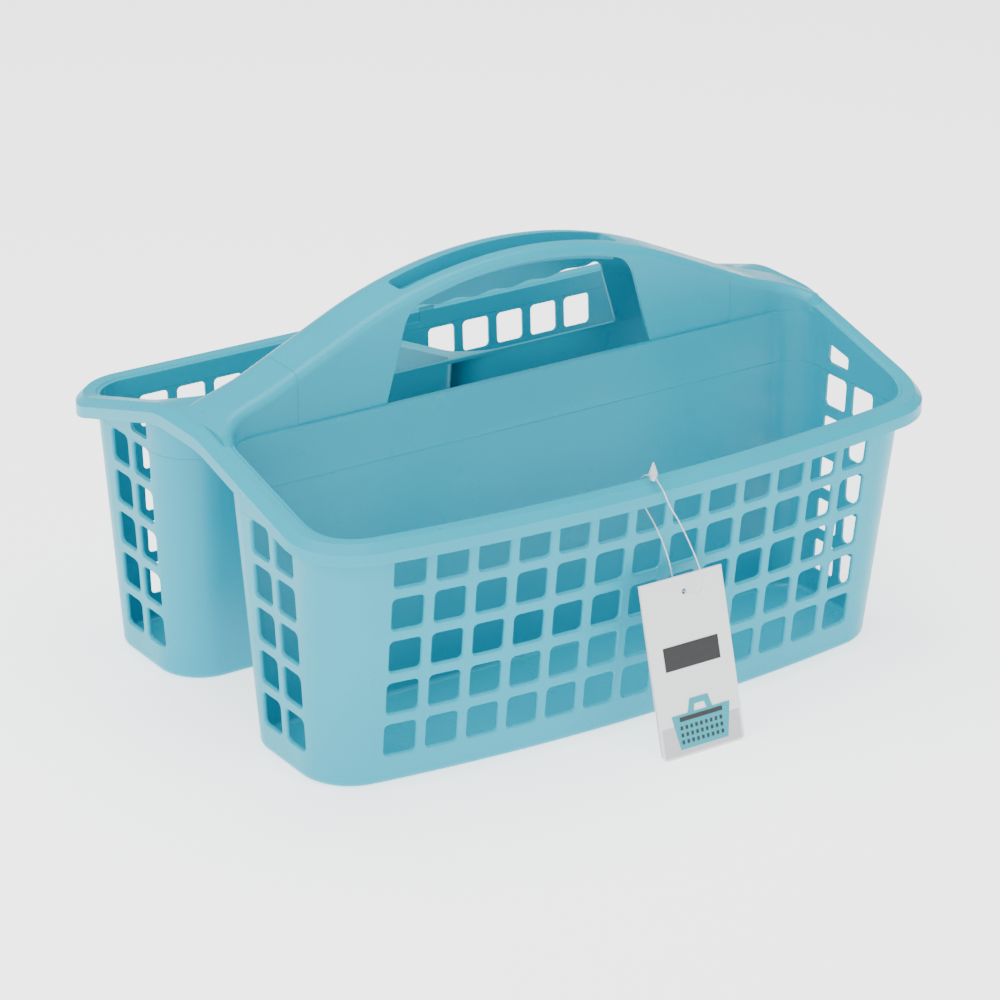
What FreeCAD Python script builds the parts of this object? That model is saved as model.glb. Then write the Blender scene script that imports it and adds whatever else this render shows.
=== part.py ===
import FreeCAD, Part
import math
import os

V = FreeCAD.Vector
Z_AXIS = V(0, 0, 1)

# ---------------------------------------------------------------------------
# Driving dimensions, millimetres and slopes (a slope is run over height).
# ---------------------------------------------------------------------------
doc = FreeCAD.newDocument("CleaningCaddy")
sheet = doc.addObject("Spreadsheet::Sheet", "Dimensions")
DIMENSIONS = [
    # tub walls, outer faces measured at the floor
    ("wall", 2.0, "wall and floor thickness"),
    ("end_half", 181.6, "end wall from the middle, at the floor"),
    ("end_slope", 0.049, "outward slope of the end walls"),
    ("front_depth", 131.3, "front wall from the middle, at the floor"),
    ("front_slope", 0.124, "outward slope of the front wall"),
    ("front_bow", 1044.0, "plan radius of the bowed front wall"),
    ("back_depth", 122.3, "back wall from the middle, at the floor"),
    ("back_slope", 0.05, "outward slope of the back wall"),
    ("front_corner", 31.0, "plan radius, front corners"),
    ("back_corner", 25.0, "plan radius, back corners"),
    ("near_corner", 20.0, "plan radius, front tub, corners beside the handle"),
    ("far_corner", 27.0, "plan radius, rear tubs, corners beside the handle"),
    ("floor_edge", 4.0, "outer rounding where the walls meet the floor"),
    ("near_wall_floor", 33.7, "front tub, handle side wall, at the floor"),
    ("near_wall_ledge", 22.3, "front tub, handle side wall, at the ledge"),
    ("ledge_height", 166.3, "ledge on the front tub, top face"),
    ("ledge_width", 2.2, "step from the tub wall back to the handle"),
    ("far_wall_floor", 36.4, "rear tubs, handle side wall, at the floor"),
    ("far_ledge", 161.0, "height where the rear handle wall turns upright"),
    # divider between the two rear tubs
    ("left_divider", -12.9, "left rear tub, divider face, at the top"),
    ("right_divider", -3.6, "right rear tub, divider face, at the top"),
    ("divider_slope", 0.022, "slope of both divider faces"),
    ("left_divider_corner", 7.0, "plan radius, left tub beside the divider"),
    ("right_divider_corner", 25.0, "plan radius, right tub beside the divider"),
    ("saddle_height", 161.3, "divider top where it leaves the handle"),
    ("saddle_slope", 0.19, "fall of the divider top towards the back"),
    # rim
    ("rim_height", 150.0, "rim top along the front and back"),
    ("rim_root_height", 176.0, "rim top in the middle of each end"),
    ("rim_root_half", 22.0, "half length of the high middle of the rim"),
    ("rim_front_low", 122.0, "front end of the falling part of the rim"),
    ("rim_back_low", 115.0, "back end of the falling part of the rim"),
    ("rim_back_drop", 1.5, "back of the rim below the front"),
    ("rim_blend", 70.0, "radius where the rim changes slope"),
    ("rim_reach", 11.3, "rim face beyond the tub wall"),
    ("rim_skirt", 11.0, "height of the rim band"),
    ("rim_facet", 4.2, "bevel along the outer top of the rim"),
    ("rim_skin", 2.3, "thickness of the rim and handle skin"),
    ("lip_bevel", 2.6, "bevel along the inner lip"),
    # handle
    ("crown_apex", 259.3, "height where the two flank lines would meet"),
    ("crown_radius", 246.0, "radius of the top of the handle arch"),
    ("root_bend", 157.0, "where the flank turns into the root"),
    ("root_bend_height", 187.75, "height of that turn"),
    ("root_bend_radius", 90.0, "radius of that turn"),
    ("root_end", 193.0, "where the handle runs into the rim"),
    ("handle_front", 23.7, "handle front face from the middle"),
    ("handle_back", 24.0, "handle back face from the middle"),
    ("palm_round", 22.0, "rounding of the rear top edge of the handle"),
    ("crest_round", 5.0, "rounding of the front top edge of the handle"),
    ("groove_half", 70.0, "half length of the top groove"),
    ("groove_front", 14.5, "front edge of the groove, ahead of the middle"),
    ("groove_back", -1.0, "rear edge of the groove, ahead of the middle"),
    ("groove_depth", 8.0, "depth of the groove"),
    ("groove_corner", 3.5, "plan radius of the groove's corners"),
    ("groove_ramp", 0.5, "slope of the groove's end faces"),
    ("front_open_half", 85.5, "front hand opening, half width at the bottom"),
    ("front_open_lean", 0.2786, "inward lean of its sides"),
    ("front_open_top", 228.6, "top of the front hand opening"),
    ("front_open_crown", 228.0, "radius of its arched top"),
    ("front_open_corner", 18.0, "radius of its upper corners"),
    ("back_open_half", 94.7, "rear hand opening, half width at the bottom"),
    ("back_open_top_half", 83.0, "rear hand opening, half width at the top"),
    ("back_open_base", 161.5, "rear hand opening, bottom edge"),
    ("back_open_top", 196.8, "rear hand opening, top edge in the middle"),
    ("back_open_rise", 4.0, "rise of that edge towards its ends"),
    ("finger_pitch", 24.0, "pitch of the finger grooves"),
    ("finger_depth", 0.8, "half depth of the finger grooves"),
    # windows
    ("window_wide", 18.0, "window width"),
    ("window_tall", 18.6, "window height"),
    ("window_round", 2.8, "window corner radius"),
    ("window_bevel", 0.7, "bevel around the outer edge of a window"),
    ("pitch_wide", 23.7, "window pitch along a wall"),
    ("pitch_tall", 25.0, "window pitch up a wall"),
    ("back_shift", -2.7, "windows of the back wall, moved along it"),
    ("low_row", 26.5, "middle of the lowest row above the floor"),
    ("end_column", 63.4, "first column of the end walls from the middle"),
    # hang tag
    ("tag_wide", 53.0, "tag width"),
    ("tag_tall", 96.0, "tag height"),
    ("tag_leaf", 0.45, "thickness of one leaf of card"),
    ("tag_splay", 1.1, "opening between the leaves at the bottom"),
    ("tag_corner", 3.5, "radius of the bottom corners"),
    ("tag_hole", 1.5, "radius of the punched hole"),
    ("tag_hole_drop", 9.0, "hole below the fold"),
    ("tag_lean", 15.3, "lean of the tag, degrees"),
    ("tag_middle", 12.0, "middle of the tag to the right of the middle"),
    ("tag_top_depth", 156.6, "fold of the tag ahead of the middle"),
    ("tag_top_height", 92.8, "fold of the tag above the floor"),
    # loop and its lock
    ("loop_thick", 0.7, "diameter of the clear filament"),
    ("socket_foot", 1.4, "lock socket, radius at the bottom"),
    ("socket_head", 2.4, "lock socket, radius at the top"),
    ("socket_tall", 3.4, "lock socket, height"),
    ("stem_half", 0.6, "arrow stem radius"),
    ("stem_gap", 0.1, "clearance of the stem in the socket"),
    ("arrow_half", 2.5, "arrowhead radius at its shoulder"),
    ("arrow_tip", 0.35, "arrowhead radius at its tip"),
    ("arrow_tall", 6.4, "arrowhead height"),
]
value = {}
for row, (alias, number, meaning) in enumerate(DIMENSIONS, start=1):
    sheet.set("A%d" % row, meaning)
    sheet.set("B%d" % row, str(number))
    sheet.setAlias("B%d" % row, alias)
doc.recompute()
for alias, number, meaning in DIMENSIONS:
    value[alias] = float(sheet.get(alias))


def dim(alias):
    """Read one driving dimension from the sheet."""
    return value[alias]


# ---------------------------------------------------------------------------
# Plan outlines
# ---------------------------------------------------------------------------
def arc(start, middle, end):
    return Part.Arc(start, middle, end).toShape()


def corner_arc(centre, radius, from_angle, to_angle):
    """Arc about a vertical axis, angles in radians."""
    def at(angle):
        return centre + V(radius * math.cos(angle), radius * math.sin(angle), 0)
    return arc(at(from_angle), at(0.5 * (from_angle + to_angle)), at(to_angle))


def bowed_outline(z, half, front, back, front_radius, back_radius):
    """Closed wire: straight ends and back, bowed front, four round corners."""
    bow = dim("front_bow")
    bow_centre = V(0, bow - front, z)
    cx = half - front_radius
    cy = bow_centre.y - math.sqrt((bow - front_radius) ** 2 - cx ** 2)
    lean = math.atan2(cy - bow_centre.y, cx)
    touch = bow_centre + V(bow * math.cos(lean), bow * math.sin(lean), 0)
    bx = half - back_radius
    by = back - back_radius
    edges = [
        Part.makeLine(V(half, cy, z), V(half, by, z)),
        corner_arc(V(bx, by, z), back_radius, 0, math.pi / 2),
        Part.makeLine(V(bx, back, z), V(-bx, back, z)),
        corner_arc(V(-bx, by, z), back_radius, math.pi / 2, math.pi),
        Part.makeLine(V(-half, by, z), V(-half, cy, z)),
        corner_arc(V(-cx, cy, z), front_radius, math.pi, math.pi - lean),
        arc(V(-touch.x, touch.y, z), V(0, -front, z), touch),
        corner_arc(V(cx, cy, z), front_radius, lean, 0),
    ]
    return Part.Wire(edges)


def box_outline(z, left, right, near, far, radii):
    """Closed wire: rectangle with its own radius at each corner.

    radii: near right, far right, far left, near left.
    """
    near_right, far_right, far_left, near_left = radii
    quarter = math.pi / 2
    edges = [
        Part.makeLine(V(right, near + near_right, z), V(right, far - far_right, z)),
        corner_arc(V(right - far_right, far - far_right, z), far_right, 0, quarter),
        Part.makeLine(V(right - far_right, far, z), V(left + far_left, far, z)),
        corner_arc(V(left + far_left, far - far_left, z), far_left, quarter, 2 * quarter),
        Part.makeLine(V(left, far - far_left, z), V(left, near + near_left, z)),
        corner_arc(V(left + near_left, near + near_left, z), near_left, 2 * quarter, 3 * quarter),
        Part.makeLine(V(left + near_left, near, z), V(right - near_right, near, z)),
        corner_arc(V(right - near_right, near + near_right, z), near_right, -quarter, 0),
    ]
    return Part.Wire(edges)


def ruled(lower, upper):
    return Part.makeLoft([lower, upper], True, True)


def prism(wire, travel):
    return Part.Face(wire).extrude(travel)


def rounded_path(points, radii):
    """Edges through the points, with a tangent arc at each inner point."""
    edges = []
    start = points[0]
    for before, here, after, radius in zip(points, points[1:], points[2:], radii):
        back = (before - here).normalize()
        ahead = (after - here).normalize()
        half_turn = 0.5 * (math.pi - back.getAngle(ahead))
        reach = radius * math.tan(half_turn)
        entry = here + back * reach
        leave = here + ahead * reach
        middle = (back + ahead).normalize()
        centre = here + middle * (radius / math.cos(half_turn))
        edges.append(Part.makeLine(start, entry))
        edges.append(arc(entry, centre - middle * radius, leave))
        start = leave
    edges.append(Part.makeLine(start, points[-1]))
    return edges


def middle_of(edge):
    return edge.valueAt(0.5 * (edge.FirstParameter + edge.LastParameter))


def block(half_length, near, far, bottom, top):
    """Box from near to far along Y, centred on X = 0."""
    return Part.makeBox(2 * half_length, far - near, top - bottom, V(-half_length, near, bottom))


# ---------------------------------------------------------------------------
# Top lines of the rim and the handle
# ---------------------------------------------------------------------------
HALF_SPAN = 220.0


def below_rim(drop, bottom, half_length):
    """Solid under the rim's top line, lowered by drop, run along X."""
    low = dim("rim_height") - drop
    back_low = low - dim("rim_back_drop")
    high = dim("rim_root_height") - drop
    reach = HALF_SPAN
    x = -half_length
    blend = dim("rim_blend")
    path = rounded_path(
        [V(x, -reach, low), V(x, -dim("rim_front_low"), low), V(x, -dim("rim_root_half"), high),
         V(x, dim("rim_root_half"), high), V(x, dim("rim_back_low"), back_low), V(x, reach, back_low)],
        [blend, blend, blend, blend])
    path.append(Part.makeLine(V(x, reach, back_low), V(x, reach, bottom)))
    path.append(Part.makeLine(V(x, reach, bottom), V(x, -reach, bottom)))
    path.append(Part.makeLine(V(x, -reach, bottom), V(x, -reach, low)))
    return prism(Part.Wire(path), V(2 * half_length, 0, 0))


def rim_band():
    """Slab between the top and bottom lines of the rim, run along X."""
    return below_rim(0, 60, HALF_SPAN).cut(below_rim(dim("rim_skirt"), 50, HALF_SPAN + 1))


def arch(drop, front, back, bottom):
    """Solid under the handle's arched top line, lowered by drop."""
    half = [
        (dim("root_end"), dim("rim_root_height")),
        (dim("root_bend"), dim("root_bend_height")),
    ]
    left = [V(-x, front, z - drop) for x, z in half]
    right = [V(x, front, z - drop) for x, z in reversed(half)]
    path = rounded_path(left + [V(0, front, dim("crown_apex") - drop)] + right,
                        [dim("root_bend_radius"), dim("crown_radius"), dim("root_bend_radius")])
    path.append(Part.makeLine(right[-1], V(right[-1].x, front, bottom)))
    path.append(Part.makeLine(V(right[-1].x, front, bottom), V(left[0].x, front, bottom)))
    path.append(Part.makeLine(V(left[0].x, front, bottom), left[0]))
    return prism(Part.Wire(path), V(0, back - front, 0))


def round_long_edge(solid, face_y, radius, bottom):
    """Round the arched edge of a handle solid on its front or back face."""
    edges = []
    for edge in solid.Edges:
        middle = middle_of(edge)
        upright = abs(edge.BoundBox.XLength) < 0.01
        if abs(middle.y - face_y) < 0.01 and not upright and middle.z > bottom + 1:
            edges.append(edge)
    return solid.makeFillet(radius, edges)


# ---------------------------------------------------------------------------
# Tubs: an outer solid and the hollow inside it
# ---------------------------------------------------------------------------
def end_face(z):
    return dim("end_half") + dim("end_slope") * z


def front_face(z):
    return dim("front_depth") + dim("front_slope") * z


def back_face(z):
    return dim("back_depth") + dim("back_slope") * z


def near_wall(z):
    share = z / dim("ledge_height")
    return dim("near_wall_floor") + share * (dim("near_wall_ledge") - dim("near_wall_floor"))


def near_hollow_wall(z):
    """Handle side of the front hollow, thickening towards the ledge."""
    at_floor = dim("near_wall_floor") + dim("wall")
    at_ledge = dim("handle_front") + dim("ledge_width")
    return at_floor + z / dim("ledge_height") * (at_ledge - at_floor)


def far_hollow_wall(z):
    at_floor = dim("far_wall_floor") + dim("wall")
    return at_floor + z / dim("far_ledge") * (dim("handle_back") - at_floor)


def front_outline(z, inset):
    mid = near_wall(z) if inset == 0 else near_hollow_wall(z)
    return bowed_outline(z, end_face(z) - inset, front_face(z) - inset, -mid,
                         dim("front_corner") - inset, dim("near_corner") - inset)


def rear_outline(z, inset, side):
    """One rear tub; side is -1 for the left tub and 1 for the right one."""
    near = far_hollow_wall(z) - dim("wall") + inset
    far = back_face(z) - inset
    end = end_face(z) - inset
    rise = dim("far_ledge") - z
    if side < 0:
        face = dim("left_divider") - dim("divider_slope") * rise + dim("wall") - inset
        inner = dim("left_divider_corner") + dim("wall") - inset
        radii = [inner, inner, dim("back_corner") - inset, dim("far_corner") - inset]
        return box_outline(z, -end, face, near, far, radii)
    face = dim("right_divider") + dim("divider_slope") * rise - dim("wall") + inset
    inner = dim("right_divider_corner") + dim("wall") - inset
    radii = [dim("far_corner") - inset, dim("back_corner") - inset, inner, inner]
    return box_outline(z, face, end, near, far, radii)


def round_bottom(solid, z, radius):
    edges = [edge for edge in solid.Edges
             if abs(edge.BoundBox.ZMin - z) < 0.01 and abs(edge.BoundBox.ZMax - z) < 0.01]
    return solid.makeFillet(radius, edges)


WALL = dim("wall")
LEDGE = dim("ledge_height")
FAR_LEDGE = dim("far_ledge")
RIM_H = dim("rim_height")
HANDLE_FOOT = 158.0
TALL = 190.0
ABOVE_ALL = 245.0
SIDES = (-1, 1)

front_outer = round_bottom(ruled(front_outline(0, 0), front_outline(TALL, 0)), 0, dim("floor_edge"))
front_hollow = ruled(front_outline(WALL, WALL), front_outline(TALL, WALL))
front_hollow = round_bottom(front_hollow, WALL, dim("floor_edge") - 1.5)
rear_outers = []
rear_hollows = []
for side in SIDES:
    outer = ruled(rear_outline(0, 0, side), rear_outline(TALL, 0, side))
    rear_outers.append(round_bottom(outer, 0, dim("floor_edge")))
    hollow = ruled(rear_outline(WALL, WALL, side), rear_outline(TALL, WALL, side))
    rear_hollows.append(round_bottom(hollow, WALL, dim("floor_edge") - 1.5))

# Above the ledge the front hollow steps back to the handle's front face. The ledge
# narrows round each corner and dies out on the end walls.
STEP_NEAR = -dim("handle_front")
STEP_REACH = -75.0
STEP_CORNER = 20.2
STEP_END_GAP = 0.3


def step_outline(z):
    half = end_face(z) - WALL - STEP_END_GAP
    return box_outline(z, -half, half, STEP_REACH, STEP_NEAR, [5, STEP_CORNER, STEP_CORNER, 5])


front_step = ruled(step_outline(LEDGE), step_outline(ABOVE_ALL))

# ---------------------------------------------------------------------------
# Rim plate with bevelled lips
# ---------------------------------------------------------------------------
def rim_outline(z, inset):
    reach = dim("rim_reach") - inset
    return bowed_outline(z, end_face(RIM_H) + reach, front_face(RIM_H) + reach,
                         back_face(RIM_H) + reach, dim("front_corner") + reach,
                         dim("back_corner") + reach)


def top_edges_near(solid, skin, reach):
    """Edges on the rim's top surface that touch a given face or wire."""
    under = below_rim(0.3, 60, HALF_SPAN + 10)
    found = []
    for edge in solid.Edges:
        middle = middle_of(edge)
        if under.isInside(middle, 0.001, True):
            continue
        if Part.Vertex(middle).distToShape(skin)[0] < reach:
            found.append(edge)
    return found


rim_plate = prism(rim_outline(90, 0), V(0, 0, 120))
side_wall = Part.Compound([face for face in rim_plate.Faces if face.BoundBox.ZLength > 100])
rim_plate = rim_plate.common(rim_band())
rim_plate = rim_plate.makeChamfer(dim("rim_facet"), top_edges_near(rim_plate, side_wall, 0.01))
for hollow in [front_hollow] + rear_hollows:
    rim_plate = rim_plate.cut(hollow)
    lip = top_edges_near(rim_plate, hollow.Shells[0], 0.01)
    rim_plate = rim_plate.makeChamfer(dim("lip_bevel"), lip)
PLATE_GAP = 161.0
rim_plate = rim_plate.cut(block(PLATE_GAP, STEP_NEAR - 2.3, dim("handle_back") + 3, 130, TALL))

# ---------------------------------------------------------------------------
# Handle arch, still solid, with the two front roots that run down to the rim
# ---------------------------------------------------------------------------
ROOT_REACH = -60.0
ROOT_TOP = 190.0
ROOT_SLOPE = 1.2


def above_roots(lift):
    """Solid over the slope in front of the handle, the slope raised by lift."""
    high = ROOT_TOP + lift
    low = high + ROOT_SLOPE * (ROOT_REACH - STEP_NEAR)
    x = -HALF_SPAN
    wire = Part.makePolygon([V(x, ROOT_REACH, low), V(x, STEP_NEAR, high), V(x, STEP_NEAR, ABOVE_ALL),
                             V(x, ROOT_REACH, ABOVE_ALL), V(x, ROOT_REACH, low)])
    return prism(wire, V(-2 * x, 0, 0))


def crest_edges(solid):
    """Top edges of the handle and its roots along the stepped-back wall."""
    buried = arch(0.3, ROOT_REACH - 1, dim("handle_back"), 90).cut(above_roots(-0.3))
    wall = front_step.Shells[0]
    found = []
    for edge in solid.Edges:
        middle = middle_of(edge)
        on_wall = Part.Vertex(middle).distToShape(wall)[0] < 0.01
        if on_wall and middle.z > LEDGE + 1 and not buried.isInside(middle, 0.001, True):
            found.append(edge)
    return found


handle = arch(0, ROOT_REACH, dim("handle_back"), HANDLE_FOOT)
handle = round_long_edge(handle, dim("handle_back"), dim("palm_round"), HANDLE_FOOT)
handle = handle.cut(above_roots(0)).cut(front_step)
handle = handle.makeFillet(dim("crest_round"), crest_edges(handle))
handle = handle.cut(front_hollow.common(block(HALF_SPAN, -HALF_SPAN, 0, 0, LEDGE)))

# ---------------------------------------------------------------------------
# Solid caddy, then the hollows of the three tubs
# ---------------------------------------------------------------------------
SADDLE_LEFT = -24.0
SADDLE_RIGHT = 30.0
SADDLE_TOP = 170.0
SADDLE_SKIRT = 12.0
BACK_INNER = back_face(RIM_H) - WALL
BACK_RIM = RIM_H - dim("rim_back_drop")


def saddle_height(y):
    return dim("saddle_height") - dim("saddle_slope") * (y - dim("handle_back"))


def saddle_block(near, far, drop, top, left, right):
    """Solid over the divider: from its top line, lowered by drop, up to top."""
    near_z = saddle_height(near) - drop
    far_z = saddle_height(far) - drop
    wire = Part.makePolygon([V(left, near, near_z), V(left, far, far_z), V(left, far, top),
                             V(left, near, top), V(left, near, near_z)])
    return prism(wire, V(right - left, 0, 0))


trim = below_rim(1.0, -5, HALF_SPAN + 10)
tubs = [front_outer.common(trim).cut(block(HALF_SPAN, -27, 33, LEDGE, ABOVE_ALL))]
for outer in rear_outers:
    tubs.append(outer.common(trim).cut(block(PLATE_GAP, -24, 36, FAR_LEDGE, ABOVE_ALL)))
web = saddle_block(20, BACK_INNER, SADDLE_SKIRT, SADDLE_TOP, SADDLE_LEFT - 6, SADDLE_RIGHT + 10)
web_start = V(SADDLE_LEFT - 6, BACK_INNER, BACK_RIM - 10)
back_web = Part.makeBox(SADDLE_RIGHT - SADDLE_LEFT + 16, WALL, 9, web_start)
caddy = rim_plate.fuse(tubs + [web, back_web])
for hollow in [front_hollow] + rear_hollows:
    caddy = caddy.cut(hollow)
caddy = caddy.cut(front_step).fuse(handle)
caddy = caddy.cut(saddle_block(dim("handle_back"), BACK_INNER, 0, ABOVE_ALL, SADDLE_LEFT, SADDLE_RIGHT))

# ---------------------------------------------------------------------------
# Underside hollow: one even skin under the rim, the handle and the saddle
# ---------------------------------------------------------------------------
SKIN = dim("rim_skin")
VOID_BOTTOM = 90.0
rim_void = prism(rim_outline(20, SKIN), V(0, 0, 200)).common(below_rim(SKIN, 60, HALF_SPAN + 10))
rim_void = rim_void.cut(rear_outers[0]).cut(rear_outers[1]).cut(front_outer)
inner_back = dim("handle_back") - WALL
handle_void = arch(SKIN, WALL - dim("handle_front"), inner_back, VOID_BOTTOM)
handle_void = round_long_edge(handle_void, inner_back, dim("palm_round") - SKIN, VOID_BOTTOM)
handle_void = handle_void.cut(front_outer.common(block(HALF_SPAN, -HALF_SPAN, HALF_SPAN, 0, LEDGE)))
for outer in rear_outers:
    handle_void = handle_void.cut(outer.common(block(HALF_SPAN, -HALF_SPAN, HALF_SPAN, 0, FAR_LEDGE)))
# The groove's own walls and floor stay.
GROOVE_END_HEIGHT = 224.8


def groove_outline(z, grow):
    corner = dim("groove_corner") + grow
    half = dim("groove_half") + grow + dim("groove_ramp") * (z - GROOVE_END_HEIGHT)
    return box_outline(z, -half, half, -dim("groove_front") - grow, -dim("groove_back") + grow, [corner] * 4)


def groove_block(grow):
    return ruled(groove_outline(190, grow), groove_outline(250, grow))


tray = groove_block(WALL).cut(arch(dim("groove_depth") + SKIN, -40, 40, 150))
groove = groove_block(0).cut(arch(dim("groove_depth"), -40, 40, 150))
handle_void = handle_void.cut(tray)
# The saddle keeps a skin, and so does the wall behind it.
saddle_skin = saddle_block(inner_back, BACK_INNER + WALL, WALL, ABOVE_ALL, SADDLE_LEFT, SADDLE_RIGHT)
rim_void = rim_void.cut(saddle_skin)
divider_void = saddle_block(inner_back - 3, BACK_INNER - 1, 30, ABOVE_ALL, SADDLE_LEFT - 4, SADDLE_RIGHT + 8)
divider_void = divider_void.cut(saddle_block(0, 140, WALL, ABOVE_ALL + 20, -60, 60))
for outer in rear_outers:
    divider_void = divider_void.cut(outer)
for void in [rim_void, handle_void, divider_void, groove]:
    caddy = caddy.cut(void)

# ---------------------------------------------------------------------------
# Hand openings through the handle's front and back walls
# ---------------------------------------------------------------------------
def front_opening():
    """Arched opening with leaning sides, cut along Y."""
    y = STEP_NEAR - 6
    half = dim("front_open_half")
    lean = dim("front_open_lean")
    crown = dim("front_open_crown")
    corner = dim("front_open_corner")
    middle_z = dim("front_open_top") - crown
    # The corner's centre is its radius inside both the leaning side and the crown arc.
    lean_long = math.sqrt(1 + lean ** 2)
    side_x = half - corner * lean_long
    base_rise = LEDGE - middle_z
    square = 1 + lean ** 2
    linear = 2 * (base_rise - side_x * lean)
    constant = side_x ** 2 + base_rise ** 2 - (crown - corner) ** 2
    up = (math.sqrt(linear ** 2 - 4 * square * constant) - linear) / (2 * square)
    cx = side_x - lean * up
    cz = LEDGE + up
    side_touch = V(cx + corner / lean_long, y, cz + corner * lean / lean_long)
    out = V(cx, 0, cz - middle_z).normalize()
    top_touch = V(cx, y, cz) + out * corner
    between = (V(1, 0, lean).normalize() + out).normalize()
    bend = V(cx, y, cz) + between * corner

    def mirror(p):
        return V(-p.x, p.y, p.z)

    path = [
        Part.makeLine(V(-half, y, LEDGE), V(half, y, LEDGE)),
        Part.makeLine(V(half, y, LEDGE), side_touch),
        arc(side_touch, bend, top_touch),
        arc(top_touch, V(0, y, dim("front_open_top")), mirror(top_touch)),
        arc(mirror(top_touch), mirror(bend), mirror(side_touch)),
        Part.makeLine(mirror(side_touch), V(-half, y, LEDGE)),
    ]
    return prism(Part.Wire(path), V(0, 12, 0))


def back_opening():
    """Opening with finger grooves along its top edge, cut along Y."""
    y = dim("handle_back") - 9
    base = dim("back_open_base")
    half = dim("back_open_half")
    top_half = dim("back_open_top_half")
    pitch = dim("finger_pitch")
    wavy = []
    count = 26
    for step in range(count + 1):
        x = 0.25 * pitch * (step - 0.5 * count)
        rise = dim("back_open_rise") * (x / top_half) ** 2
        wave = dim("finger_depth") * math.cos(2 * math.pi * x / pitch)
        wavy.append(V(x, y, dim("back_open_top") + rise - wave))
    curve = Part.BSplineCurve()
    curve.interpolate(wavy)
    top = curve.toShape()
    shoulder = V(top_half + 2, y, wavy[-1].z - 7)
    bend = V(top_half, y, wavy[-1].z - 2)
    path = [
        Part.makeLine(V(-half, y, base), V(half, y, base)),
        Part.makeLine(V(half, y, base), shoulder),
        arc(shoulder, bend, wavy[-1]),
        top,
        arc(wavy[0], V(-bend.x, y, bend.z), V(-shoulder.x, y, shoulder.z)),
        Part.makeLine(V(-shoulder.x, y, shoulder.z), V(-half, y, base)),
    ]
    return prism(Part.Wire(path), V(0, 9.6, 0))


# ---------------------------------------------------------------------------
# Windows: rounded squares with a small bevel on the outside
# ---------------------------------------------------------------------------
def window_outline(z, grow):
    half_wide = 0.5 * dim("window_wide") + grow
    half_tall = 0.5 * dim("window_tall") + grow
    corner = dim("window_round") + grow
    return box_outline(z, -half_wide, half_wide, -half_tall, half_tall, [corner] * 4)


bevel = dim("window_bevel")
straight = prism(window_outline(-5, 0), V(0, 0, 5 - 0.5 * bevel))
flare = ruled(window_outline(-bevel, 0), window_outline(bevel, 2 * bevel))
window = straight.fuse(flare)


def place_window(spot, outward):
    """Cutter on a wall: its own Z points outward and its Y runs up the wall."""
    sideways = Z_AXIS.cross(outward).normalize()
    up = outward.cross(sideways).normalize()
    turn = FreeCAD.Rotation(sideways, up, outward, "ZXY")
    cutter = window.copy()
    cutter.Placement = FreeCAD.Placement(spot, turn)
    return cutter


ROWS = [dim("low_row") + dim("pitch_tall") * row for row in range(5)]
PITCH = dim("pitch_wide")
windows = []
bow = dim("front_bow")
for column in range(-6, 7):
    for z in ROWS:
        x = column * PITCH
        sag = bow - math.sqrt(bow ** 2 - x ** 2)
        outward = V(x / bow, -math.sqrt(1 - (x / bow) ** 2), -dim("front_slope")).normalize()
        windows.append(place_window(V(x, sag - front_face(z), z), outward))
    if abs(column) > 1:
        for z in ROWS:
            outward = V(0, 1, -dim("back_slope")).normalize()
            windows.append(place_window(V(x + dim("back_shift"), back_face(z), z), outward))
SHORT_BASE = 142.2
SHORT_INNER_TOP = 153.5
SHORT_OUTER_TOP = 150.0
SHORT_DEPTH = 7.0
for side in SIDES:
    for end in SIDES:
        for number in range(2):
            y = end * (dim("end_column") + number * PITCH)
            for z in ROWS:
                outward = V(side, 0, -dim("end_slope")).normalize()
                windows.append(place_window(V(side * end_face(z), y, z), outward))
        # A short window fits under the rising rim.
        near = end * (dim("end_column") - 0.5 * dim("window_wide"))
        far = end * (dim("end_column") + 0.5 * dim("window_wide"))
        x = side * (end_face(RIM_H) - 5)
        short = Part.makePolygon([V(x, near, SHORT_BASE), V(x, far, SHORT_BASE), V(x, far, SHORT_OUTER_TOP),
                                  V(x, near, SHORT_INNER_TOP), V(x, near, SHORT_BASE)])
        cutter = prism(short, V(side * SHORT_DEPTH, 0, 0))
        along = [edge for edge in cutter.Edges if edge.BoundBox.XLength > SHORT_DEPTH - 1]
        windows.append(cutter.makeFillet(dim("window_round") - 0.6, along))

caddy = caddy.cut(front_opening())
caddy = caddy.cut(back_opening())
caddy = caddy.cut(windows)

# ---------------------------------------------------------------------------
# The moulding in named regions that meet face to face
# ---------------------------------------------------------------------------
SPLIT_HEIGHT = BACK_RIM - dim("rim_skirt") - 0.5
GRIP_HALF = 140.0
below_skirt = block(HALF_SPAN, -HALF_SPAN, HALF_SPAN, -10, SPLIT_HEIGHT)
baskets = caddy.common(below_skirt).Solids
upper = caddy.cut(below_skirt)
grip_front = block(GRIP_HALF, -40, 0, LEDGE, ABOVE_ALL + 20)
grip_back = block(GRIP_HALF, 0, 40, dim("back_open_base"), ABOVE_ALL + 20)
grip_zone = grip_front.fuse(grip_back)
regions = {"rim_frame": upper.cut(grip_zone), "carry_handle": upper.common(grip_zone)}
for basket in baskets:
    centre = basket.BoundBox.Center
    if centre.y < 0:
        regions["front_basket"] = basket
    elif centre.x < 0:
        regions["rear_left_basket"] = basket
    else:
        regions["rear_right_basket"] = basket

# ---------------------------------------------------------------------------
# Hang tag: one card folded over at the top, punched through both leaves
# ---------------------------------------------------------------------------
LEAN = math.radians(dim("tag_lean"))
tag_down = V(0, -math.sin(LEAN), -math.cos(LEAN))
tag_front = V(0, -math.cos(LEAN), math.sin(LEAN))
tag_top = V(dim("tag_middle"), -dim("tag_top_depth"), dim("tag_top_height"))


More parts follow.
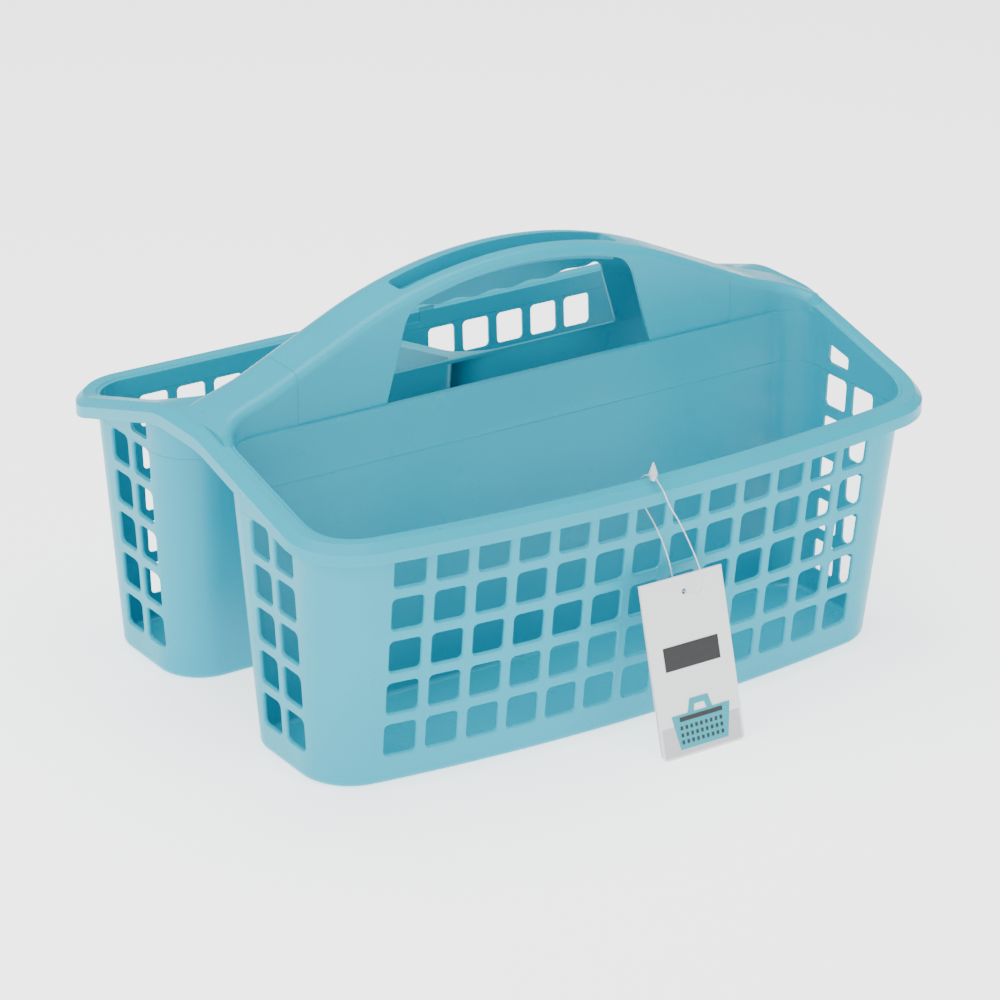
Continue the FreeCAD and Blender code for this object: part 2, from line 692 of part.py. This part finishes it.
def on_card(down, behind, across=0.0):
    """Point on the card: down from the fold, behind the front face, across from its middle."""
    return tag_top + tag_down * down - tag_front * behind + V(across, 0, 0)


leaf = dim("tag_leaf")
FOLD_GAP = 0.3
FOLD_LENGTH = 1.0
tall = dim("tag_tall")
splay = dim("tag_splay")
back_tall = tall - (2 * leaf + splay) * math.tan(LEAN) - 0.1
half_wide = 0.5 * dim("tag_wide")
fold_middle = leaf + 0.5 * FOLD_GAP


def on_edge(down, behind):
    """Point on the card's left edge."""
    return on_card(down, behind, -half_wide)


# Round the section: back leaf, the slit between the leaves, front leaf.
corners = [
    on_edge(FOLD_LENGTH, 2 * fold_middle),
    on_edge(back_tall, 2 * leaf + splay), on_edge(back_tall, leaf + splay),
    on_edge(FOLD_LENGTH, leaf + FOLD_GAP), on_edge(FOLD_LENGTH, leaf), on_edge(tall, leaf), on_edge(tall, 0),
    on_edge(FOLD_LENGTH, 0),
]
profile = [arc(corners[-1], on_edge(0, fold_middle), corners[0])]
for first, second in zip(corners, corners[1:]):
    profile.append(Part.makeLine(first, second))
card = prism(Part.Wire(profile), V(dim("tag_wide"), 0, 0))
low_ends = [edge for edge in card.Edges
            if edge.BoundBox.XLength < 0.01 and edge.BoundBox.ZMin < 1.5 and abs(edge.Length - leaf) < 0.1]
card = card.makeFillet(dim("tag_corner"), low_ends)
HOLE_RIGHT = 1.0
hole_spot = on_card(dim("tag_hole_drop"), 0.5 * leaf, HOLE_RIGHT)
card = card.cut(Part.makeCylinder(dim("tag_hole"), 12, hole_spot + tag_front * 6, tag_front * -1))

# ---------------------------------------------------------------------------
# Loop: one clear filament from the lock, round the rim, through a window and the tag
# ---------------------------------------------------------------------------
LOOP_ROUTE = [
    V(-7.0, -159.6, 153.2), V(-5.8, -164.9, 148.7), V(-1.5, -163.4, 139.0), V(7.2, -162.2, 126.0),
    V(16.8, -163.0, 105.2), V(20.8, -164.0, 93.5), V(20.6, -165.0, 84.8), V(13.1, -165.0, 84.2),
    V(12.4, -150.6, 84.1), V(10.2, -149.9, 97.5), V(4.2, -150.2, 113.0), V(0.8, -147.6, 122.5),
    V(-2.2, -141.8, 131.5), V(-5.4, -142.4, 143.5), V(-7.0, -149.0, 152.6), V(-7.4, -155.65, 153.4),
]
TURN_SHARE = 0.45


def tube_path(points):
    """Straight runs joined by tangent arcs; returns the edges and the radii."""
    edges = []
    radii = []
    start = points[0]
    for before, here, after in zip(points, points[1:], points[2:]):
        back = before - here
        ahead = after - here
        shorter = min(back.Length, ahead.Length)
        turn = math.pi - back.getAngle(ahead)
        reach = TURN_SHARE * shorter
        radius = reach / math.tan(0.5 * turn)
        back.normalize()
        ahead.normalize()
        inward = (back + ahead).normalize()
        entry = here + back * reach
        leave = here + ahead * reach
        bend = here + inward * (radius / math.cos(0.5 * turn) - radius)
        edges.append(Part.LineSegment(start, entry).toShape())
        edges.append(Part.Arc(entry, bend, leave).toShape())
        radii.append(radius)
        start = leave
    edges.append(Part.LineSegment(start, points[-1]).toShape())
    return edges, radii


loop_edges, loop_radii = tube_path(LOOP_ROUTE)
loop_wire = Part.Wire(loop_edges)
half_thick = 0.5 * dim("loop_thick")
start_way = (LOOP_ROUTE[1] - LOOP_ROUTE[0]).normalize()
section = Part.Wire([Part.makeCircle(half_thick, LOOP_ROUTE[0], start_way)])
filament = loop_wire.makePipeShell([section], True, True)
section_area = math.pi * half_thick ** 2
print("loop length", loop_wire.Length, "radii", [round(r, 1) for r in loop_radii])
print("loop volume", filament.Volume, "section times length", section_area * loop_wire.Length)

# ---------------------------------------------------------------------------
# Document objects, one per node
# ---------------------------------------------------------------------------
SHIFT = V(0, 0.5 * (front_face(RIM_H) - back_face(RIM_H)), 0)
LOCK_SPOT = V(-7.3, -157.6, 151.8) + SHIFT
nodes = []


def shape_node(label, shape):
    item = doc.addObject("Part::Feature", label)
    item.Label = label
    placed = shape.copy()
    placed.translate(SHIFT)
    item.Shape = placed
    nodes.append(item)
    return item


def primitive(kind, label, bindings, base):
    item = doc.addObject(kind, label)
    item.Label = label
    for name, formula in bindings.items():
        item.setExpression(name, formula)
    item.Placement = FreeCAD.Placement(base, FreeCAD.Rotation())
    return item


for name in ("front_basket", "rear_left_basket", "rear_right_basket", "rim_frame", "carry_handle"):
    shape_node(name, regions[name])
shape_node("hang_tag", card)
shape_node("loop_filament", filament)

socket_cone = primitive("Part::Cone", "socket_cone", {
    "Radius1": "Dimensions.socket_foot", "Radius2": "Dimensions.socket_head",
    "Height": "Dimensions.socket_tall"}, LOCK_SPOT)
socket_bore = primitive("Part::Cylinder", "socket_bore", {
    "Radius": "Dimensions.stem_half + Dimensions.stem_gap", "Height": "Dimensions.socket_tall + 2"},
    LOCK_SPOT - Z_AXIS)
socket = doc.addObject("Part::Cut", "loop_socket")
socket.Label = "loop_socket"
socket.Base = socket_cone
socket.Tool = socket_bore
nodes.append(socket)
stem = primitive("Part::Cylinder", "arrow_stem", {
    "Radius": "Dimensions.stem_half", "Height": "Dimensions.socket_tall"}, LOCK_SPOT + V(0, 0, 0.3))
head = primitive("Part::Cone", "arrow_head", {
    "Radius1": "Dimensions.arrow_half", "Radius2": "Dimensions.arrow_tip",
    "Height": "Dimensions.arrow_tall"}, LOCK_SPOT + V(0, 0, dim("socket_tall") + 0.2))
arrow = doc.addObject("Part::Fuse", "loop_arrow")
arrow.Label = "loop_arrow"
arrow.Base = stem
arrow.Tool = head
nodes.append(arrow)
doc.recompute()

for item in doc.Objects:
    if "Invalid" in item.State or "Error" in item.State:
        raise RuntimeError("object not valid: " + item.Label)
os.makedirs("parts", exist_ok=True)
for item in nodes:
    if item.Shape.isNull() or not item.Shape.isValid() or len(item.Shape.Solids) != 1:
        raise RuntimeError("bad shape: " + item.Label)
    item.Shape.exportStep("parts/" + item.Label + ".step")
    box = item.Shape.BoundBox
    print("%-18s %9.1f mm3  x %.1f..%.1f  y %.1f..%.1f  z %.1f..%.1f" % (
        item.Label, item.Shape.Volume, box.XMin, box.XMax, box.YMin, box.YMax, box.ZMin, box.ZMax))
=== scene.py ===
import math

import bpy
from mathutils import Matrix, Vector


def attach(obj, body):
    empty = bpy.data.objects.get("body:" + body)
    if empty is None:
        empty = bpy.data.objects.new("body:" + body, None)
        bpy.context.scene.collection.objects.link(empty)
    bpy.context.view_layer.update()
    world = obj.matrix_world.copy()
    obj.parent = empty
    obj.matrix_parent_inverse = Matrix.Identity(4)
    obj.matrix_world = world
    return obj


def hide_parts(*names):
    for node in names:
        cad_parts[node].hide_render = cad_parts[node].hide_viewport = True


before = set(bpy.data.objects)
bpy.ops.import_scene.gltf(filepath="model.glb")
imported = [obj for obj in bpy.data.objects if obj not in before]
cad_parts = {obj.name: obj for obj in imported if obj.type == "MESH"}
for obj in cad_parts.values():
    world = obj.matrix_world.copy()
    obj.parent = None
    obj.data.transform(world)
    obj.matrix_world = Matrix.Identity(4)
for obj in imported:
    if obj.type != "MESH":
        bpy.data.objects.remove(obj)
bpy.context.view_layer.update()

MM = 0.001

# ---------------------------------------------------------------------------
# Camera: from the front left, looking down on the caddy
# ---------------------------------------------------------------------------
camera_data = bpy.data.cameras.new("camera")
camera = bpy.data.objects.new("camera", camera_data)
bpy.context.scene.collection.objects.link(camera)
camera.location = (-1.1041, -1.67035, 0.9462)
camera.rotation_euler = (math.radians(66.75), 0.0, math.radians(-33.35))
camera_data.lens = 142.0
camera_data.sensor_width = 36.0
camera_data.clip_start = 0.05
camera_data.clip_end = 50.0
bpy.context.scene.camera = camera

# ---------------------------------------------------------------------------
# The clear filament of the loop
# ---------------------------------------------------------------------------
ROUTE_SHIFT = 10.05
LOOP_ROUTE = [
    (-7.0, -159.6, 153.2), (-5.8, -164.9, 148.7), (-1.5, -163.4, 139.0), (7.2, -162.2, 126.0),
    (16.8, -163.0, 105.2), (20.8, -164.0, 93.5), (20.6, -165.0, 84.8), (13.1, -165.0, 84.2),
    (12.4, -150.6, 84.1), (10.2, -149.9, 97.5), (4.2, -150.2, 113.0), (0.8, -147.6, 122.5),
    (-2.2, -141.8, 131.5), (-5.4, -142.4, 143.5), (-7.0, -149.0, 152.6), (-7.4, -155.65, 153.4),
]
FILAMENT_WIDTH = 0.0007


def make_filament():
    """Curve object along the loop's route."""
    data = bpy.data.curves.new("loop_strand", "CURVE")
    data.dimensions = "3D"
    data.bevel_depth = 0.5 * FILAMENT_WIDTH
    data.bevel_resolution = 4
    data.resolution_u = 16
    data.use_fill_caps = True
    spline = data.splines.new("NURBS")
    spline.points.add(len(LOOP_ROUTE) - 1)
    for point, (x, y, z) in zip(spline.points, LOOP_ROUTE):
        point.co = (x * MM, (y + ROUTE_SHIFT) * MM, z * MM, 1.0)
    spline.order_u = 3
    spline.use_endpoint_u = True
    obj = bpy.data.objects.new("loop_strand", data)
    bpy.context.scene.collection.objects.link(obj)
    return obj


strand = make_filament()
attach(strand, "caddy")
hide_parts("loop_filament")


# ---------------------------------------------------------------------------
# Materials
# ---------------------------------------------------------------------------
def new_material(name):
    material = bpy.data.materials.new(name)
    material.use_nodes = True
    nodes = material.node_tree.nodes
    shader = nodes.get("Principled BSDF")
    return material, nodes, material.node_tree.links, shader


# Sockets of the colour Mix node
MIX_FACTOR, MIX_FIRST, MIX_SECOND, MIX_RESULT = 0, 6, 7, 2
# Noise seldom leaves this range, so it is stretched from here
NOISE_LOW, NOISE_HIGH = 0.3, 0.7


def noise(nodes, links, coords, scale, detail=2.0, rough=0.5):
    node = nodes.new("ShaderNodeTexNoise")
    node.inputs["Scale"].default_value = scale
    node.inputs["Detail"].default_value = detail
    node.inputs["Roughness"].default_value = rough
    links.new(coords, node.inputs["Vector"])
    return node.outputs["Fac"]


def spread(nodes, links, source, low, high):
    """Map a noise signal onto low..high."""
    node = nodes.new("ShaderNodeMapRange")
    node.inputs["From Min"].default_value = NOISE_LOW
    node.inputs["From Max"].default_value = NOISE_HIGH
    node.inputs["To Min"].default_value = low
    node.inputs["To Max"].default_value = high
    links.new(source, node.inputs["Value"])
    return node.outputs["Result"]


def mix_colour(nodes, links, factor, first, second):
    node = nodes.new("ShaderNodeMix")
    node.data_type = "RGBA"
    node.inputs[MIX_FIRST].default_value = first
    node.inputs[MIX_SECOND].default_value = second
    links.new(factor, node.inputs[MIX_FACTOR])
    return node.outputs[MIX_RESULT]


# Radius of the look of rounding on the moulding's edges
EDGE_ROUND = 0.0007


def moulded_plastic():
    """Satin turquoise polypropylene, a little translucent."""
    material, nodes, links, shader = new_material("turquoise_polypropylene")
    coords = nodes.new("ShaderNodeTexCoord").outputs["Object"]
    flow = noise(nodes, links, coords, 9.0, 3.0)
    colour = mix_colour(nodes, links, spread(nodes, links, flow, 0.0, 1.0),
                        (0.000, 0.330, 0.450, 1.0), (0.000, 0.360, 0.485, 1.0))
    links.new(colour, shader.inputs["Base Color"])
    sheen_map = noise(nodes, links, coords, 60.0, 4.0)
    links.new(spread(nodes, links, sheen_map, 0.26, 0.36), shader.inputs["Roughness"])
    shader.inputs["IOR"].default_value = 1.49
    shader.inputs["Subsurface Weight"].default_value = 0.05
    shader.inputs["Specular IOR Level"].default_value = 0.25
    shader.inputs["Subsurface Radius"].default_value = (0.05, 0.9, 1.0)
    shader.inputs["Subsurface Scale"].default_value = 0.004
    ripple = noise(nodes, links, coords, 45.0, 1.0)
    grain = noise(nodes, links, coords, 1400.0, 2.0)
    soft = nodes.new("ShaderNodeBump")
    soft.inputs["Strength"].default_value = 0.10
    soft.inputs["Distance"].default_value = 0.0015
    links.new(ripple, soft.inputs["Height"])
    edge = nodes.new("ShaderNodeBevel")
    edge.samples = 4
    edge.inputs["Radius"].default_value = EDGE_ROUND
    links.new(edge.outputs["Normal"], soft.inputs["Normal"])
    fine = nodes.new("ShaderNodeBump")
    fine.inputs["Strength"].default_value = 0.12
    fine.inputs["Distance"].default_value = 0.00008
    links.new(grain, fine.inputs["Height"])
    links.new(soft.outputs["Normal"], fine.inputs["Normal"])
    links.new(fine.outputs["Normal"], shader.inputs["Normal"])
    return material


def coated_card():
    """White card with a smooth print coating."""
    material, nodes, links, shader = new_material("coated_card")
    coords = nodes.new("ShaderNodeTexCoord").outputs["Object"]
    fibre = noise(nodes, links, coords, 900.0, 5.0, 0.7)
    colour = mix_colour(nodes, links, spread(nodes, links, fibre, 0.0, 1.0),
                        (0.83, 0.835, 0.86, 1.0), (0.88, 0.885, 0.90, 1.0))
    links.new(colour, shader.inputs["Base Color"])
    links.new(spread(nodes, links, fibre, 0.36, 0.48), shader.inputs["Roughness"])
    bump = nodes.new("ShaderNodeBump")
    bump.inputs["Strength"].default_value = 0.15
    bump.inputs["Distance"].default_value = 0.00004
    links.new(fibre, bump.inputs["Height"])
    links.new(bump.outputs["Normal"], shader.inputs["Normal"])
    return material


def clear_nylon():
    """Clear nylon with a milky core."""
    material, nodes, links, shader = new_material("clear_nylon")
    coords = nodes.new("ShaderNodeTexCoord").outputs["Object"]
    cloud = noise(nodes, links, coords, 700.0, 3.0)
    colour = mix_colour(nodes, links, spread(nodes, links, cloud, 0.0, 1.0),
                        (0.80, 0.88, 0.90, 1.0), (0.95, 0.97, 0.98, 1.0))
    links.new(colour, shader.inputs["Base Color"])
    links.new(spread(nodes, links, cloud, 0.12, 0.24), shader.inputs["Roughness"])
    shader.inputs["IOR"].default_value = 1.53
    shader.inputs["Transmission Weight"].default_value = 0.45
    return material


def assign(obj, material):
    obj.data.materials.clear()
    obj.data.materials.append(material)


def printed_ink(name, dark, light):
    """Printing ink with a faint fibre of the card showing through."""
    material, nodes, links, shader = new_material(name)
    coords = nodes.new("ShaderNodeTexCoord").outputs["Object"]
    fibre = noise(nodes, links, coords, 1100.0, 4.0, 0.6)
    links.new(mix_colour(nodes, links, spread(nodes, links, fibre, 0.0, 1.0), dark, light),
              shader.inputs["Base Color"])
    links.new(spread(nodes, links, fibre, 0.34, 0.46), shader.inputs["Roughness"])
    return material


PLASTIC = moulded_plastic()
CARD = coated_card()
NYLON = clear_nylon()
for name in ("front_basket", "rear_left_basket", "rear_right_basket", "rim_frame", "carry_handle"):
    assign(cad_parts[name], PLASTIC)
assign(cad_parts["hang_tag"], CARD)
assign(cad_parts["loop_socket"], NYLON)
assign(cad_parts["loop_arrow"], NYLON)
assign(strand, NYLON)

# ---------------------------------------------------------------------------
# The print on the tag's front leaf, as thin sheets of ink
# ---------------------------------------------------------------------------
CARD_FOLD = Vector((0.012, -0.14655, 0.0928))
CARD_WIDE = 0.053
CARD_TALL = 0.096
CARD_DOWN = Vector((0.0, -0.2639, -0.9646))
CARD_OUT = Vector((0.0, -0.9646, 0.2639))
INK_LIFT = 0.00015


def on_card(u, v, lift):
    """Point on the front leaf: u from the left edge and v down from the fold, each 0 to 1."""
    across = Vector(((u - 0.5) * CARD_WIDE, 0.0, 0.0))
    return CARD_FOLD + across + CARD_DOWN * (v * CARD_TALL) + CARD_OUT * lift


def ink(name, outline, lift, material):
    """Flat sheet of ink with the given outline."""
    mesh = bpy.data.meshes.new(name)
    mesh.from_pydata([on_card(u, v, lift) for u, v in outline], [], [tuple(range(len(outline)))])
    obj = bpy.data.objects.new(name, mesh)
    bpy.context.scene.collection.objects.link(obj)
    obj.data.materials.append(material)
    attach(obj, "tag")


def box_of(left, top, right, bottom):
    return [(left, top), (left, bottom), (right, bottom), (right, top)]


BLACK_INK = printed_ink("black_ink", (0.010, 0.010, 0.012, 1.0), (0.018, 0.018, 0.020, 1.0))
GREY_INK = printed_ink("grey_ink", (0.50, 0.51, 0.53, 1.0), (0.56, 0.57, 0.59, 1.0))
TEAL_INK = printed_ink("teal_ink", (0.000, 0.30, 0.38, 1.0), (0.002, 0.34, 0.42, 1.0))
ink("print_band", box_of(0.17, 0.375, 0.84, 0.51), INK_LIFT, BLACK_INK)
ink("print_ground", box_of(0.03, 0.82, 0.97, 0.985), INK_LIFT, GREY_INK)
# The printed basket, as shares of the card's width and height
BASKET_SIDE = [(0.16, 0.76), (0.22, 0.955), (0.80, 0.955), (0.87, 0.76)]
BASKET_HANDLE = [(0.36, 0.76), (0.40, 0.685), (0.62, 0.685), (0.66, 0.76), (0.59, 0.76), (0.57, 0.72),
                 (0.45, 0.72), (0.43, 0.76)]
ink("print_basket", BASKET_SIDE, 2 * INK_LIFT, TEAL_INK)
ink("print_handle", BASKET_HANDLE, 2 * INK_LIFT, TEAL_INK)
ink("print_inside", box_of(0.25, 0.775, 0.77, 0.80), 3 * INK_LIFT, BLACK_INK)
WINDOW_ROWS, WINDOW_COLUMNS = 3, 9
WINDOW_LEFT, WINDOW_TOP = 0.245, 0.825
WINDOW_STEP_ACROSS, WINDOW_STEP_DOWN = 0.060, 0.040
WINDOW_WIDE, WINDOW_TALL = 0.030, 0.022
for row in range(WINDOW_ROWS):
    top = WINDOW_TOP + WINDOW_STEP_DOWN * row
    for column in range(WINDOW_COLUMNS):
        left = WINDOW_LEFT + WINDOW_STEP_ACROSS * column
        window = box_of(left, top, left + WINDOW_WIDE, top + WINDOW_TALL)
        ink(f"print_window_{row}_{column}", window, 3 * INK_LIFT, BLACK_INK)

# ---------------------------------------------------------------------------
# Floor and light
# ---------------------------------------------------------------------------
FLOOR_HALF = 6.0


def floor():
    """Pale floor that glows faintly, so that it stays near white."""
    mesh = bpy.data.meshes.new("floor")
    corners = [(-FLOOR_HALF, -FLOOR_HALF, 0), (FLOOR_HALF, -FLOOR_HALF, 0),
               (FLOOR_HALF, FLOOR_HALF, 0), (-FLOOR_HALF, FLOOR_HALF, 0)]
    mesh.from_pydata(corners, [], [(0, 1, 2, 3)])
    obj = bpy.data.objects.new("floor", mesh)
    bpy.context.scene.collection.objects.link(obj)
    material, _, _, shader = new_material("pale_floor")
    shader.inputs["Base Color"].default_value = (0.97, 0.97, 0.97, 1.0)
    shader.inputs["Roughness"].default_value = 0.9
    shader.inputs["Specular IOR Level"].default_value = 0.0
    shader.inputs["Emission Color"].default_value = (1.0, 1.0, 1.0, 1.0)
    shader.inputs["Emission Strength"].default_value = 1.6
    obj.data.materials.append(material)


def area_light(name, location, target, size, power):
    """Soft rectangular light that faces the target."""
    data = bpy.data.lights.new(name, "AREA")
    data.shape = "RECTANGLE"
    data.size, data.size_y = size
    data.energy = power
    obj = bpy.data.objects.new(name, data)
    bpy.context.scene.collection.objects.link(obj)
    obj.location = location
    way = Vector(target) - Vector(location)
    obj.rotation_euler = way.to_track_quat("-Z", "Y").to_euler()


floor()
world = bpy.data.worlds.new("studio")
bpy.context.scene.world = world
world.use_nodes = True
background = world.node_tree.nodes["Background"]
background.inputs["Color"].default_value = (1.0, 1.0, 1.0, 1.0)
background.inputs["Strength"].default_value = 0.55
LIT_POINT = (0, 0, 0.1)
area_light("top", (-0.2, 0.2, 2.2), LIT_POINT, (2.2, 2.2), 75.0)
area_light("left", (-2.0, -0.8, 1.2), LIT_POINT, (1.4, 1.4), 30.0)
area_light("front", (0.6, -2.4, 1.3), LIT_POINT, (1.6, 1.2), 22.0)
